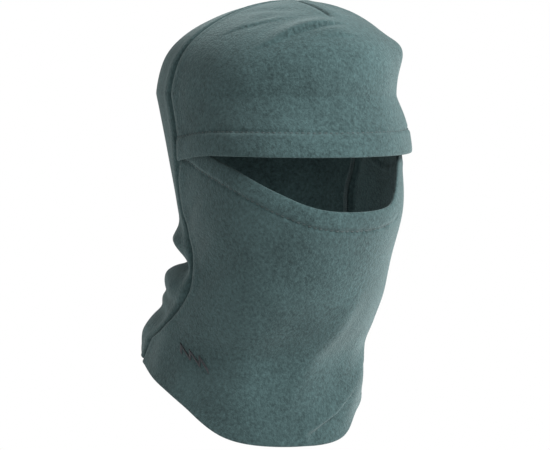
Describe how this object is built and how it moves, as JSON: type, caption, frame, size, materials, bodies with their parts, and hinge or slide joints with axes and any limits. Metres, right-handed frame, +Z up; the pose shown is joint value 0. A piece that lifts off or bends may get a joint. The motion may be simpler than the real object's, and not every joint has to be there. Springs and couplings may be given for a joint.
{
  "type": "balaclava",
  "caption": "Thin fleece balaclava with one wide eye opening, a flap-over brow edge, shaped face mask and a neck skirt that flares over the shoulders.",
  "frame": {"origin": "centre of the head cavity, 5 mm under the height where the wearer's head is widest", "axes": "+Z up, the face looks towards -Y, the wearer's right is -X"},
  "size_m": [0.1705, 0.2378, 0.3217],
  "materials": {
    "fleece": "brushed anti-pill fleece, matt grey-green",
    "topstitch_thread": "polyester sewing thread, slight sheen",
    "seam_thread": "textured overlock thread, matt",
    "embroidery_thread": "rayon embroidery thread, soft sheen"
  },
  "bodies": {
    "hood": {"crown_panel": "fleece", "back_panel": "fleece", "mask_panel": "fleece", "neck_panel": "fleece", "brow_topstitch": "topstitch_thread", "crown_seam_thread": "seam_thread", "right_neck_seam_thread": "seam_thread", "left_neck_seam_thread": "seam_thread", "front_dart_thread": "seam_thread", "back_dart_thread": "seam_thread", "embroidered_motif": "embroidery_thread"},
    "mask": {"mask_hem": "fleece", "mask_topstitch": "topstitch_thread"}
  },
  "joints": [
    {"name": "mask_pull_down", "type": "hinge", "parent": "hood", "child": "mask", "pos_m": [0, 0.012, -0.03], "axis": [1, 0, 0], "range_deg": [0, 30], "deforming": ["mask_panel"]}
  ]
}
